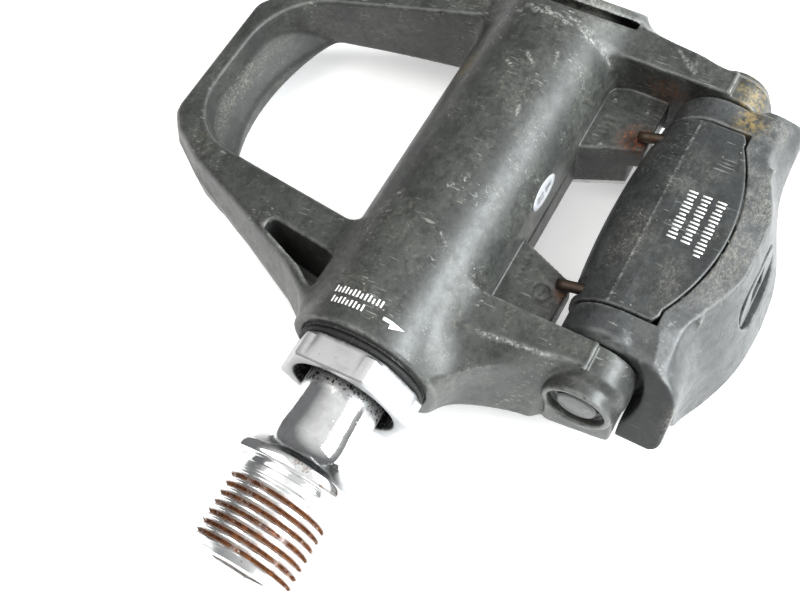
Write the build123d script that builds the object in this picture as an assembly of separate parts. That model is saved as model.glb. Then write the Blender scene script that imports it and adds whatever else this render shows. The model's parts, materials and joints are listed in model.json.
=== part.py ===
from build123d import *
import math
import os

# Left road pedal with a sprung cleat claw, lying on its cleat side. Millimetres.
# Origin: axle axis, at the flange face that seats on the crank.
# +X runs outboard along the axle, +Y to the toe, +Z out of the underside of the pedal.

# ---- driving dimensions ----
PEDAL_CENTRE = 53.0          # flange seat to the middle plane of the body

THREAD_R = 7.14              # 9/16 inch crank thread, major radius
THREAD_LENGTH = 12.0
FLANGE_R, FLANGE_T = 9.33, 1.52
NECK_R = 5.45
JOURNAL_R = 4.39
HEX_KEY_AF, HEX_KEY_DEPTH = 8.0, 9.0

BALL_R = 1.19                # 3/32 inch balls
BALL_COUNT = 12
RACE_R = 6.81                # inside of the bearing tube
TUBE_R = 7.40
TUBE_START, TUBE_END = 27.0, 80.0
INNER_BALLS_X, OUTER_BALLS_X = 31.0, 73.0

NUT_AF, NUT_CORNER_R = 17.0, 9.75
NUT_START, NUT_END = 13.0, 17.0
NUT_MOUTH_R = 7.18
LOCK_THREAD_R, LOCK_COLLAR_R = 9.02, 7.9

BARREL_R = 10.5
BARREL_START = 18.0
BARREL_END = PEDAL_CENTRE + 32.0
PLATFORM_Z = -8.7            # moulded face under the wear plate
PLATE_T = 0.8

STRUT_BOTTOM_Z = -7.5
TOE_BOTTOM_Z = -11.0         # the underside drops from the struts to the toe in two slopes
OUTER_SLOT_X = 75.5           # dark slot across the outboard end of the barrel
OUTER_SLOT_LEAN = 41.0
HOOP_TOP_AT_AXLE, HOOP_TOP_SLOPE = 7.43, 0.166   # the hoop's top plane falls to the toe
HOLE_FRONT_Y, HOLE_CORNER_R = 43.2, 11.3
LIP_FRONT_Y, LIP_R, LIP_TOP_Z = 39.7, 24.0, -4.5

ARM_INNER, ARM_TOP_Z, ARM_BOTTOM_Z = 20.9, 6.0, -6.8
PAD_TOP_Z, PAD_LIP_Z = -0.5, -4.7    # the pads' rear edges overhang their feet
PAD_FOOT_Y = -16.8

PIN_Y, PIN_Z, PIN_R = -26.5, -0.3, 2.74
BOSS_FACE, FAR_BOSS_FACE, BOSS_SHOULDER = 27.9, 26.6, 25.2   # the outboard boss is a little shorter
PIN_INSET = 0.3              # the pin's ends sit this far inside the boss faces
BOSS_R, BOSS_DISC_R, BOSS_FOOT_Y = 5.5, 4.8, -31.4
PIN_RECESS_R = 3.9

COVER_R, COVER_DEPTH, COVER_T, COVER_END = 6.3, 7.5, 0.9, 15.5
FLAP_Y, FLAP_R, FLAP_HALF = -34.8, 28.6, 13.7
SHOULDER_START, SHOULDER_END = 15.7, 20.5
CLAW_TOP_Z, CLAW_BOTTOM_Z = 6.0, -13.9
COVER_Z_UNDER = CLAW_TOP_Z - COVER_T
EAR_BOTTOM_Z = -6.7
EAR_CLEAR_R = 6.7            # the ears keep this far from the pin, clear of the bosses
EAR_FRONT_Y = -31.7          # and this far back below the pin, clear of the bosses' feet

SPRING_WIRE_R, SPRING_COIL_R = 0.9, 3.95
SPRING_START, SPRING_STOP = 2.6, 14.0
LEG_R = 0.8

BOLT_Z = -4.4
BOLT_R, BOLT_HEAD_R = 2.0, 2.4
CROSS_BAR_TOP, CROSS_BAR_BOTTOM = -1.6, -7.0
WINDOW_HALF, WINDOW_TOP, WINDOW_BOTTOM = 5.9, -1.4, -7.6
GUIDE_A, GUIDE_R = 4.5, 0.9

FIT = 0.02                   # radial clearance of pressed and running fits

# outlines: (a, y) pairs in plan, "a" being the distance from the middle plane of the body
HOOP_SIDE = [(33.6, 4.0), (33.6, 10.0), (28.9, 16.7), (23.9, 26.8), (18.4, 38.6), (14.2, 44.6), (10.0, 48.0)]
HOLE_REAR_HALF, HOLE_FRONT_HALF = 20.2, 13.6
STRUT_POCKET = [(21.8, 22.2), (23.3, 22.2), (30.3, 9.4), (25.1, 9.4)]
UNDERSIDE = [(33.0, STRUT_BOTTOM_Z), (37.0, -8.7), (41.5, TOE_BOTTOM_Z)]   # (y, z)
ARM_SIDE = [(34.2, -2), (34.0, -8), (31.9, -12), (29.8, -17.5), (28.8, -23.5), (28.2, PIN_Y)]
FAR_ARM_TRIM = [(40, -3.0), (33.4, -3.0), (30.6, -8.6), (29.6, -13.2), (29.6, -17.0), (40, -17.0)]
PAD = [(7.2, -7), (11.8, -18.6), (21.2, -18.6), (21.2, -7)]
PLATE_SIDE = [(8.2, -9.6), (11.3, PAD_FOOT_Y), (20.6, PAD_FOOT_Y), (20.6, -9.6),
              (24.6, -9.6), (24.6, 12.8), (20.2, 12.8), (20.2, 9.9)]
SCREWS_AT = [(16.5, -14.0), (-16.5, -14.0), (22.3, 8.0), (-22.3, 8.0)]
SCREW_HEAD_R, SCREW_R, SCREW_LENGTH = 2.6, 1.25, 4.6

# end of the axle: cone, washer and nut on a thinner threaded tail
TAIL_R, TAIL_START, TAIL_END = 3.6, 75.0, 83.0
CONE_START, CONE_T, CONE_R = OUTER_BALLS_X + BALL_R + 1.9, 1.9, 5.6
WASHER_T, WASHER_R = 0.8, 5.2
LOCK_NUT_T, LOCK_NUT_AF = 2.8, 9.6
BUSHING_START, BUSHING_END = 36.0, 56.0

LABEL_X, LABEL_ANGLE, LABEL_T = 50.4, 163.0, 0.08
LABEL_HALF_LENGTH, LABEL_HALF_WIDTH = 3.4, 1.55


# ---- helpers; "a" is the distance from the middle plane, towards the crank when positive ----
def cyl_x(radius, x0, x1, y=0.0, z=0.0):
    return Pos((x0 + x1) / 2, y, z) * Rot(0, 90, 0) * Cylinder(radius, x1 - x0)


def tube_x(outer, inner, x0, x1, y=0.0, z=0.0):
    return cyl_x(outer, x0, x1, y, z) - cyl_x(inner, x0 - 1, x1 + 1, y, z)


def cyl_y(radius, y0, y1, x, z):
    return Pos(x, (y0 + y1) / 2, z) * Rot(90, 0, 0) * Cylinder(radius, y1 - y0)


def block(x0, x1, y0, y1, z0, z1):
    middle = Pos((x0 + x1) / 2, (y0 + y1) / 2, (z0 + z1) / 2)
    return middle * Box(abs(x1 - x0), abs(y1 - y0), abs(z1 - z0))


def at(a):
    return PEDAL_CENTRE - a


def plan(points, z0, z1):
    """Prism over an outline given as (a, y)."""
    face = Polygon(*[(at(a), y) for a, y in points], align=None)
    return Pos(0, 0, z0) * extrude(face, z1 - z0, dir=(0, 0, 1))


def side(points, x0, x1):
    """Prism along X over an outline given as (y, z)."""
    face = Plane.YZ.offset(x0) * Polygon(*points, align=None)
    return extrude(face, x1 - x0, dir=(1, 0, 0))


def other_side(shape):
    return mirror(shape, about=Plane.YZ.offset(PEDAL_CENTRE))


def both(shape):
    return shape + other_side(shape)


def hexagon_x(across_flats, x0, x1, corner_angle=0.0):
    points = []
    for i in range(6):
        t = math.radians(corner_angle + 60 * i)
        r = across_flats / 2 / math.cos(math.pi / 6)
        points.append((r * math.cos(t), r * math.sin(t)))
    return side(points, x0, x1)


def save(node, shape):
    shape.label = node
    export_step(shape, f"parts/{node}.step")


# ---- axle unit ----
def make_spindle():
    neck_end, chamfer = 24.0, 0.8
    outline = Polyline(
        (-THREAD_LENGTH, 0),
        (-THREAD_LENGTH, THREAD_R - chamfer),
        (-THREAD_LENGTH + chamfer, THREAD_R),
        (0, THREAD_R),
        (0, FLANGE_R - 0.2),
        (0.2, FLANGE_R),
        (FLANGE_T - 0.3, FLANGE_R),
        (FLANGE_T, FLANGE_R - 0.4),
    )
    flare = ThreePointArc((FLANGE_T, FLANGE_R - 0.4), (2.7, 6.95), (6.0, 5.85))
    shaft = Polyline(
        (6.0, 5.85),
        (12.0, NECK_R),
        (neck_end, NECK_R),
        (neck_end + 1.0, JOURNAL_R + 0.5),
        (INNER_BALLS_X - BALL_R - 0.3, JOURNAL_R + 0.5),
        (INNER_BALLS_X - BALL_R - 0.1, JOURNAL_R),
        (TAIL_START - 1.0, JOURNAL_R),
        (TAIL_START, TAIL_R),
        (TAIL_END, TAIL_R),
        (TAIL_END, 0),
        (-THREAD_LENGTH, 0),
    )
    body = revolve(make_face(outline + flare + shaft), Axis.X)
    socket = hexagon_x(HEX_KEY_AF, -THREAD_LENGTH - 1, -THREAD_LENGTH + HEX_KEY_DEPTH, 30)
    return body - socket


def make_balls(x):
    orbit = JOURNAL_R + FIT + BALL_R
    balls = [
        Pos(x, orbit * math.cos(t), orbit * math.sin(t)) * Sphere(BALL_R)
        for t in [2 * math.pi * i / BALL_COUNT for i in range(BALL_COUNT)]
    ]
    return Compound(children=balls)


def make_lock_bolt():
    head = hexagon_x(NUT_AF, NUT_START, NUT_END, -5) & cyl_x(NUT_CORNER_R, NUT_START, NUT_END)
    bolt = head + cyl_x(LOCK_COLLAR_R, NUT_END, BARREL_START) + cyl_x(LOCK_THREAD_R, BARREL_START, TUBE_START)
    bolt -= cyl_x(NUT_MOUTH_R, NUT_START - 1, BARREL_START)
    return bolt - cyl_x(NECK_R + 0.3, NUT_START - 1, TUBE_START + 1)


def make_bearing_tube():
    lip = tube_x(TUBE_R, JOURNAL_R + 0.9, TUBE_START, TUBE_START + 1.5)
    return lip + tube_x(TUBE_R, RACE_R, TUBE_START + 1.5, TUBE_END)


def make_cone():
    return tube_x(CONE_R, TAIL_R + FIT, CONE_START, CONE_START + CONE_T)


def make_lock_washer():
    start = CONE_START + CONE_T
    return tube_x(WASHER_R, TAIL_R + FIT, start, start + WASHER_T)


def make_lock_nut():
    start = CONE_START + CONE_T + WASHER_T
    return hexagon_x(LOCK_NUT_AF, start, start + LOCK_NUT_T) - cyl_x(TAIL_R + FIT, start - 1, start + 5)


# ---- body ----
def make_hoop():
    outline = HOOP_SIDE + [(-a, y) for a, y in reversed(HOOP_SIDE)]
    ring = plan(outline, TOE_BOTTOM_Z, 8.0)
    hole_side = [(HOLE_REAR_HALF, 5.0), (HOLE_FRONT_HALF, HOLE_FRONT_Y)]
    hole = plan(hole_side + [(-a, y) for a, y in reversed(hole_side)], -20, 20)
    front_corners = hole.edges().filter_by(Axis.Z).sort_by(Axis.Y)[-2:]
    hole = fillet(front_corners, HOLE_CORNER_R)
    lip = plan(outline, TOE_BOTTOM_Z, LIP_TOP_Z) & block(at(17), at(-17), 32, 50, -20, 0)
    lip -= Pos(PEDAL_CENTRE, LIP_FRONT_Y - LIP_R, 0) * Cylinder(LIP_R, 60)
    ring = ring - hole + lip
    ring -= side([(0, -20), (0, STRUT_BOTTOM_Z)] + UNDERSIDE + [(41.5, -20)], 0, 120)
    top_far = HOOP_TOP_AT_AXLE - HOOP_TOP_SLOPE * 60
    over = side([(-5, HOOP_TOP_AT_AXLE + 5 * HOOP_TOP_SLOPE), (60, top_far), (60, 30), (-5, 30)], 0, 120)
    nose = side([(44.4, 0.0), (49.0, -5.6), (60, -5.6), (60, 5), (44.4, 5)], 0, 120)
    return (ring - over - nose) & block(0, BARREL_END, -10, 60, -30, 30)


def make_arm(face):
    arm = plan([(ARM_INNER, -2)] + ARM_SIDE + [(ARM_INNER, PIN_Y)], ARM_BOTTOM_Z, ARM_TOP_Z)
    boss = cyl_x(BOSS_R, at(BOSS_SHOULDER), at(ARM_INNER), PIN_Y, PIN_Z)
    boss += cyl_x(BOSS_DISC_R, at(face), at(ARM_INNER), PIN_Y, PIN_Z)
    boss += block(at(face - 0.5), at(ARM_INNER), BOSS_FOOT_Y, PIN_Y + 2, ARM_BOTTOM_Z, PIN_Z)
    slope = Plane(origin=(at(27.6), -4, ARM_TOP_Z), x_dir=(0.11, -1, 0), z_dir=(-1.4, -0.154, 1))
    shed = slope * Pos(0, 0, 20) * Box(120, 120, 40)
    recess = cyl_x(PIN_RECESS_R, at(face + 5), at(face - PIN_INSET - 0.2), PIN_Y, PIN_Z)
    return arm - shed + boss - recess


def make_pedal_body():
    body = cyl_x(BARREL_R, BARREL_START, BARREL_END)
    body -= block(at(27), at(-27), -12, 12, -20, PLATFORM_Z)
    body += make_hoop()
    far_arm = other_side(make_arm(FAR_BOSS_FACE) - plan(FAR_ARM_TRIM, -20, 20))
    body += (make_arm(BOSS_FACE) + far_arm) & block(0, BARREL_END, -60, 60, -30, 30)
    body += block(at(25), at(-25), -10, 10.2, PLATFORM_Z, -4)
    body += both(block(at(25), at(19.8), 9, 13, PLATFORM_Z, -4))
    body += both(plan(PAD, PLATFORM_Z, PAD_TOP_Z))
    body -= block(at(ARM_INNER), at(-ARM_INNER), -20, PAD_FOOT_Y, -12, PAD_LIP_Z)
    body -= both(plan(STRUT_POCKET, -5.5, 12))
    lean = Rot(0, -OUTER_SLOT_LEAN, 0)
    body -= Pos(OUTER_SLOT_X + 2.4, -4, BARREL_R) * lean * Pos(10, 0, 0) * Box(20, 14, 40)
    slot = Pos(OUTER_SLOT_X, -4, BARREL_R) * lean * Box(1.5, 14, 30)
    body -= slot & (block(68, BARREL_END, -10.6, 3, 2.4, 12) - cyl_x(8.4, 60, 90))

    body -= cyl_x(TUBE_R + FIT, BARREL_START, BARREL_END - 1.5)
    body -= cyl_x(LOCK_THREAD_R + FIT, BARREL_START - 1, TUBE_START)
    body -= cyl_x(PIN_R + FIT, at(40), at(-40), PIN_Y, PIN_Z)
    for a, y in SCREWS_AT:
        body -= Pos(at(a), y, PLATFORM_Z + SCREW_LENGTH / 2) * Cylinder(SCREW_R, SCREW_LENGTH + 0.4)
    return body


def make_body_plate():
    outline = PLATE_SIDE + [(-a, y) for a, y in reversed(PLATE_SIDE)]
    plate = plan(outline, PLATFORM_Z - PLATE_T, PLATFORM_Z)
    for a, y in SCREWS_AT:
        plate -= Pos(at(a), y, PLATFORM_Z - PLATE_T / 2) * Cylinder(SCREW_HEAD_R + FIT, 2)
    return plate


def make_plate_screws():
    screws = []
    for a, y in SCREWS_AT:
        head = Pos(at(a), y, PLATFORM_Z - PLATE_T / 2) * Cylinder(SCREW_HEAD_R, PLATE_T)
        shank = Pos(at(a), y, PLATFORM_Z + SCREW_LENGTH / 2) * Cylinder(SCREW_R - FIT, SCREW_LENGTH)
        cross = Pos(at(a), y, PLATFORM_Z - PLATE_T) * (Box(2.2, 0.5, 1.0) + Box(0.5, 2.2, 1.0))
        screws.append(head + shank - cross)
    return Compound(children=screws)


def make_label():
    skin = tube_x(BARREL_R + LABEL_T, BARREL_R, LABEL_X - 5, LABEL_X + 5)
    oval = extrude(Ellipse(LABEL_HALF_LENGTH, LABEL_HALF_WIDTH), 20, dir=(0, 0, 1))
    return skin & (Rot(LABEL_ANGLE - 90, 0, 0) * Pos(LABEL_X, 0, 0) * oval)


# ---- claw ----
# stations of the claw's rear surface: distance from the middle, ridge (y, z), mid (y, z), foot y, foot z
STATIONS = [
    (0.0, -38.8, 5.0, -40.5, -2.6, -43.0, CLAW_BOTTOM_Z),
    (5.0, -38.4, 5.0, -40.2, -2.6, -42.7, CLAW_BOTTOM_Z),
    (9.0, -36.8, 5.0, -39.4, -3.0, -41.9, CLAW_BOTTOM_Z),
    (14.0, -34.6, 5.0, -37.8, -3.4, -40.1, CLAW_BOTTOM_Z),
    (18.5, -34.5, 4.5, -37.5, -2.5, -38.0, CLAW_BOTTOM_Z),
    (SHOULDER_END, -34.4, 4.2, -37.5, -1.5, -37.6, EAR_BOTTOM_Z - 1.5),
]


def claw_section(station, sign):
    a, ridge_y, ridge_z, mid_y, mid_z, foot_y, foot_z = station
    hook_tip_y, hook_root_y = -34.4, -36.6
    hook_top = min(foot_z + 2.0, EAR_BOTTOM_Z - 0.5)
    root_top = min(hook_top + 1.2, EAR_BOTTOM_Z)
    points = [
        (PIN_Y, CLAW_TOP_Z), (ridge_y + 1.5, CLAW_TOP_Z - 0.15), (ridge_y, ridge_z), (mid_y, mid_z),
        (foot_y, foot_z + 1.2), (foot_y + 1.0, foot_z), (hook_tip_y, foot_z), (hook_tip_y, hook_top),
        (hook_root_y, root_top), (hook_root_y, EAR_BOTTOM_Z + 0.1), (PIN_Y, EAR_BOTTOM_Z + 0.1),
    ]
    return Plane.YZ.offset(at(sign * a)) * Polygon(*points, align=None)


def make_claw_half(sign):
    half = None
    for first, second in zip(STATIONS, STATIONS[1:]):
        span = loft([claw_section(first, sign), claw_section(second, sign)], ruled=True)
        half = span if half is None else half + span
    return half


def make_ear():
    points = [(-30.0, EAR_BOTTOM_Z), (-36.3, EAR_BOTTOM_Z), (-37.4, -5.2), (-37.5, -1.0), (-36.6, 1.9),
              (-35.4, 3.3), (-34.4, 4.1), (-30.0, 4.6)]
    ear = side(points, at(26.5), at(SHOULDER_END - 0.2))
    slope = Plane(origin=(at(21.0), -34, 4.1), x_dir=(0, 1, 0), z_dir=(-2, 0, 1))
    return ear - slope * Pos(0, 0, 20) * Box(120, 120, 40)


def flap_prism(inset, z0, z1):
    """Plan of the flap behind the springs: square shoulders, chamfered corners, round rear edge."""
    half = SHOULDER_START - inset
    shape = block(at(half), at(-half), PIN_Y, -31.4 + inset, z0, z1)
    centre_y = FLAP_Y + FLAP_R
    rear = Pos(PEDAL_CENTRE, centre_y, (z0 + z1) / 2) * Cylinder(FLAP_R - inset, z1 - z0)
    tongue = rear & block(at(FLAP_HALF), at(-FLAP_HALF), -40, PIN_Y, z0, z1)
    return shape + tongue


def make_rear_claw():
    claw = make_claw_half(1) + make_claw_half(-1)
    shoulder = cyl_x(COVER_R, at(SHOULDER_END), at(SHOULDER_START), PIN_Y, PIN_Z)
    claw += both(shoulder + make_ear())
    claw -= flap_prism(0.0, -8.0, 20)
    claw -= block(at(SHOULDER_START), at(-SHOULDER_START), PIN_Y - 0.1, -15, -20, 20)
    claw -= both(tube_x(EAR_CLEAR_R, 0.5, at(32), at(SHOULDER_END), PIN_Y, PIN_Z))
    claw -= both(block(at(32), at(SHOULDER_END), EAR_FRONT_Y, PIN_Y, EAR_BOTTOM_Z - 1, PIN_Z))
    claw += both(block(at(12.6), at(10.4), -34.6, -30.6, 3.6, COVER_Z_UNDER))

    stadium = SlotOverall(2 * WINDOW_HALF, WINDOW_TOP - WINDOW_BOTTOM)
    window_z = (WINDOW_TOP + WINDOW_BOTTOM) / 2
    window = Plane.XZ * Pos(PEDAL_CENTRE, window_z) * stadium
    claw -= Pos(0, -36.8, 0) * extrude(window, 10, dir=(0, -1, 0))
    claw -= block(at(7.0), at(-7.0), -35.2, -30, CROSS_BAR_BOTTOM - 0.4, CROSS_BAR_TOP + 0.4)
    claw -= cyl_y(BOLT_R + 0.05, -40, -30, PEDAL_CENTRE, BOLT_Z)
    for a in (GUIDE_A, -GUIDE_A):
        claw -= cyl_y(GUIDE_R + 0.1, -40, -30, at(a), BOLT_Z)
    return claw - cyl_x(PIN_R + 0.75 + FIT, at(22), at(-22), PIN_Y, PIN_Z)


def arch_x(depth, height):
    """Oval bar around the pin, as long as the cover."""
    face = Plane.YZ.offset(at(COVER_END)) * Pos(PIN_Y, PIN_Z) * Ellipse(depth, height)
    return extrude(face, 2 * COVER_END, dir=(1, 0, 0))


def make_spring_cover():
    shell = arch_x(COVER_DEPTH, COVER_R) - arch_x(COVER_DEPTH - COVER_T, COVER_R - COVER_T)
    keep = side([(PIN_Y, -2.2), (-15, -4.0), (-15, 12), (PIN_Y, 12)], 0, 120)
    shell &= keep
    flap = flap_prism(0.2, COVER_Z_UNDER, CLAW_TOP_Z)
    leg_slots = both(block(at(14.4), at(11.8), -23.5, -15, -3, 3.2))
    return shell + flap - leg_slots


def make_pin_bushes():
    bushes = []
    for sign in (1, -1):
        ends = sorted((at(sign * (SHOULDER_START + 0.1)), at(sign * (SHOULDER_END - 0.1))))
        bushes.append(tube_x(PIN_R + 0.75, PIN_R + 0.05, ends[0], ends[1], PIN_Y, PIN_Z))
    return Compound(children=bushes)


# ---- springs and tension adjuster ----
def bar_between(x, start, end, radius):
    """Round bar in the plane at x, between two (y, z) points."""
    dy, dz = end[0] - start[0], end[1] - start[1]
    length = math.hypot(dy, dz)
    place = Plane(origin=(x, *start), x_dir=(1, 0, 0), z_dir=(0, dy, dz))
    return place * Pos(0, 0, length / 2) * Cylinder(radius, length)


def upper_tangent(y, z):
    """Point where a straight leg from (y, z) meets the top of the spring's coil."""
    dy, dz = y - PIN_Y, z - PIN_Z
    distance = math.hypot(dy, dz)
    turn = math.acos(SPRING_COIL_R / distance)
    angle = math.atan2(dz, dy) + (turn if dy > 0 else -turn)
    return PIN_Y + SPRING_COIL_R * math.cos(angle), PIN_Z + SPRING_COIL_R * math.sin(angle)


def make_spring(sign):
    ends = sorted((at(sign * SPRING_START), at(sign * SPRING_STOP)))
    coil_outer, coil_inner = SPRING_COIL_R + SPRING_WIRE_R, SPRING_COIL_R - SPRING_WIRE_R
    spring = tube_x(coil_outer, coil_inner, ends[0], ends[1], PIN_Y, PIN_Z)
    front = (-17.2, PAD_TOP_Z + LEG_R + 0.05)
    rear = (-33.2, CROSS_BAR_TOP + LEG_R + 0.05)
    front_x = at(sign * (SPRING_STOP - SPRING_WIRE_R))
    rear_x = at(sign * (SPRING_START + SPRING_WIRE_R))
    spring += bar_between(front_x, upper_tangent(*front), front, LEG_R)
    return spring + bar_between(rear_x, upper_tangent(*rear), rear, LEG_R)


def make_adjuster_bolt():
    head = cyl_y(BOLT_HEAD_R, -37.9, -36.85, PEDAL_CENTRE, BOLT_Z)
    key = Plane.XZ * Pos(PEDAL_CENTRE, BOLT_Z) * RegularPolygon(1.25, 6, major_radius=False)
    socket = Pos(0, -37.2, 0) * extrude(key, 2, dir=(0, -1, 0))
    return head + cyl_y(BOLT_R, -36.9, -30.6, PEDAL_CENTRE, BOLT_Z) - socket


def make_adjuster_nut():
    nut = block(at(6.5), at(-6.5), -33.9, -32.0, CROSS_BAR_BOTTOM, CROSS_BAR_TOP)
    nut -= cyl_y(BOLT_R + 0.05, -40, -30, PEDAL_CENTRE, BOLT_Z)
    for a in (GUIDE_A, -GUIDE_A):
        nut -= cyl_y(GUIDE_R + FIT, -40, -33.0, at(a), BOLT_Z)
    return nut


def make_tension_indicator():
    outline = Plane.XZ * Pos(PEDAL_CENTRE, (WINDOW_TOP + WINDOW_BOTTOM) / 2) * SlotOverall(11.4, 5.8)
    plate = Pos(0, -38, 0) * extrude(outline, 4, dir=(0, -1, 0))
    plate &= side([(-38.7, 0), (-39.7, 0), (-40.9, -9), (-39.7, -9)], at(8), at(-8))
    plate -= block(at(2.1), at(-2.1), -45, -36, -6.1, -2.7)
    for a in (GUIDE_A, -GUIDE_A):
        plate += cyl_y(GUIDE_R, -39.4, -33.05, at(a), BOLT_Z)
    return plate


def make_bushing():
    return tube_x(RACE_R - FIT, JOURNAL_R + 0.05, BUSHING_START, BUSHING_END)


def make_o_ring():
    middle = (NUT_END + BARREL_START) / 2
    return tube_x(9.1, LOCK_COLLAR_R + FIT, middle - 0.48, middle + 0.48)


def make_dust_seal():
    return tube_x(NUT_MOUTH_R - FIT, NECK_R + 0.06, 15.4, 17.8)


def make_pivot_pin():
    return cyl_x(PIN_R, at(BOSS_FACE - PIN_INSET), at(PIN_INSET - FAR_BOSS_FACE), PIN_Y, PIN_Z)


NODES = {
    "spindle": make_spindle,
    "inner_balls": lambda: make_balls(INNER_BALLS_X),
    "outer_balls": lambda: make_balls(OUTER_BALLS_X),
    "bearing_tube": make_bearing_tube,
    "bushing": make_bushing,
    "cone": make_cone,
    "lock_washer": make_lock_washer,
    "lock_nut": make_lock_nut,
    "lock_bolt": make_lock_bolt,
    "o_ring": make_o_ring,
    "dust_seal": make_dust_seal,
    "pedal_body": make_pedal_body,
    "body_plate": make_body_plate,
    "plate_screws": make_plate_screws,
    "label": make_label,
    "pivot_pin": make_pivot_pin,
    "rear_claw": make_rear_claw,
    "spring_cover": make_spring_cover,
    "pin_bushes": make_pin_bushes,
    "spring_inboard": lambda: make_spring(1),
    "spring_outboard": lambda: make_spring(-1),
    "adjuster_bolt": make_adjuster_bolt,
    "adjuster_nut": make_adjuster_nut,
    "tension_indicator": make_tension_indicator,
}

os.makedirs("parts", exist_ok=True)
for node, make in NODES.items():
    save(node, make())
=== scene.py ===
import json
import math

import bpy
import numpy as np
from mathutils import Matrix, Vector


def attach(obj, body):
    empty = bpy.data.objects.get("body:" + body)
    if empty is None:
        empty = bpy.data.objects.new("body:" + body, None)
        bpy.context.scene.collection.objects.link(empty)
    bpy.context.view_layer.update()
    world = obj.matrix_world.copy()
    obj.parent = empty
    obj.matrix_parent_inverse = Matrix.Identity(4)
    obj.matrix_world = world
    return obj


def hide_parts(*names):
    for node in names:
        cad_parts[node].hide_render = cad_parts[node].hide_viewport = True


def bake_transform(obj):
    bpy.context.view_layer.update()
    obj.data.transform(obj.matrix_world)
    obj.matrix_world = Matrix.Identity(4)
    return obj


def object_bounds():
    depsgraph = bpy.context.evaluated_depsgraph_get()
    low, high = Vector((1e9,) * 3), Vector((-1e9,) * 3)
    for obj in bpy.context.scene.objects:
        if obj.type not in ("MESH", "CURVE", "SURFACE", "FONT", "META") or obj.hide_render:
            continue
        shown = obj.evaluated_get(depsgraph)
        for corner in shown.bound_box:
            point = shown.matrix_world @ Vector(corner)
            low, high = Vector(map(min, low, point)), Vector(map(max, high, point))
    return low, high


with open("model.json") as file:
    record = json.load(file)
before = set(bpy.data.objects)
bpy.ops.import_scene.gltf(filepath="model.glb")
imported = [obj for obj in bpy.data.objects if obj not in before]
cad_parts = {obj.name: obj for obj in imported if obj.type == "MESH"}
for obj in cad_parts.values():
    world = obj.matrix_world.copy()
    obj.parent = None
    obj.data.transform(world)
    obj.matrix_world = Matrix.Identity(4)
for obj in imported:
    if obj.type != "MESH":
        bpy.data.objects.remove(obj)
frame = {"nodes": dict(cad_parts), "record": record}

cad_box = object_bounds()

# Lengths here are millimetres in the CAD frame; MM turns them into metres when a mesh is made.
# +X runs outboard along the axle, +Y to the toe, +Z out of the underside of the pedal.
MM = 0.001
CENTRE = 53.0                       # middle plane of the body
BARREL_R, BARREL_START, BARREL_END = 10.48, 18.0, 85.0
PRINT_R = 10.49                     # prints and the label lie on the barrel, inside its overall height
PLATFORM_Z = -8.7
PIN_Y, PIN_Z, PIN_R = -26.5, -0.3, 2.74
COVER_R, COVER_T, COVER_HALF = 6.3, 0.9, 15.5
SLOT_X, SLOT_LEAN = 75.5, math.radians(41)
SHOULDER_IN, SHOULDER_OUT = 15.7, 20.5
FLAP_Y, FLAP_R, FLAP_HALF = -34.8, 28.6, 13.7
CLAW_TOP, CLAW_BOTTOM, EAR_BOTTOM = 6.0, -13.9, -6.7
ARM_INNER, BOSS_FACE, FAR_FACE = 20.9, 27.9, 26.6
SPRING_COIL_R, SPRING_WIRE_R = 3.95, 0.85
THREAD_R, THREAD_ROOT_R, THREAD_PITCH, THREAD_START = 7.14, 6.36, 1.27, -11.9
HEX_KEY, NUT_FLATS, NUT_TURN = 8.0, 17.0, -6
LEDGE_Y, LEDGE_R = 15.7, 24.0       # arc of the ledge inside the toe hoop
DIAGONAL = 0.707                    # makes a sum of two lengths a distance to a 45 degree plane
BOLT_Z = -4.4
TURN = 2 * math.pi


# ---------------------------------------------------------------- shapes as signed distances
def meet(a, b, edge=0.0):
    """Intersection of two shapes, its edges rounded to that radius."""
    if not edge:
        return np.maximum(a, b)
    return np.minimum(-edge, np.maximum(a, b)) + np.hypot(np.maximum(a + edge, 0), np.maximum(b + edge, 0))


def join(a, b, fillet=0.0):
    """Union of two shapes, with a fillet of that radius between them."""
    return -meet(-a, -b, fillet)


def slab(v, low, high):
    return np.abs(v - (low + high) / 2) - (high - low) / 2


def rod(u, v, radius):
    return np.hypot(u, v) - radius


def bend(xs, ys, u):
    """Smooth curve through the points (xs, ys), read at u."""
    xs, ys = np.array(xs, float), np.array(ys, float)
    slopes = np.gradient(ys, xs)
    u = np.clip(u, xs[0], xs[-1])
    i = np.clip(np.searchsorted(xs, u, side="right") - 1, 0, len(xs) - 2)
    h = xs[i + 1] - xs[i]
    t = (u - xs[i]) / h
    value = (2 * t**3 - 3 * t**2 + 1) * ys[i] + (3 * t**2 - 2 * t**3) * ys[i + 1]
    return value + h * ((t**3 - 2 * t**2 + t) * slopes[i] + (t**3 - t**2) * slopes[i + 1])


def rounded(corners, steps=5):
    """Outline through corners (u, v, radius), each turned into an arc of its radius."""
    points = []
    for i, (u, v, radius) in enumerate(corners):
        here = Vector((u, v))
        back = (Vector(corners[i - 1][:2]) - here).normalized()
        ahead = (Vector(corners[(i + 1) % len(corners)][:2]) - here).normalized()
        half = back.angle(ahead) / 2
        if radius == 0 or half > math.radians(89):
            points.append(here)
            continue
        run = radius / math.tan(half)
        centre = here + (back + ahead).normalized() * radius / math.sin(half)
        start, end = here + back * run - centre, here + ahead * run - centre
        for k in range(steps + 1):
            points.append(centre + start.slerp(end, k / steps).normalized() * radius)
    return [tuple(p) for p in points]


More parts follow.
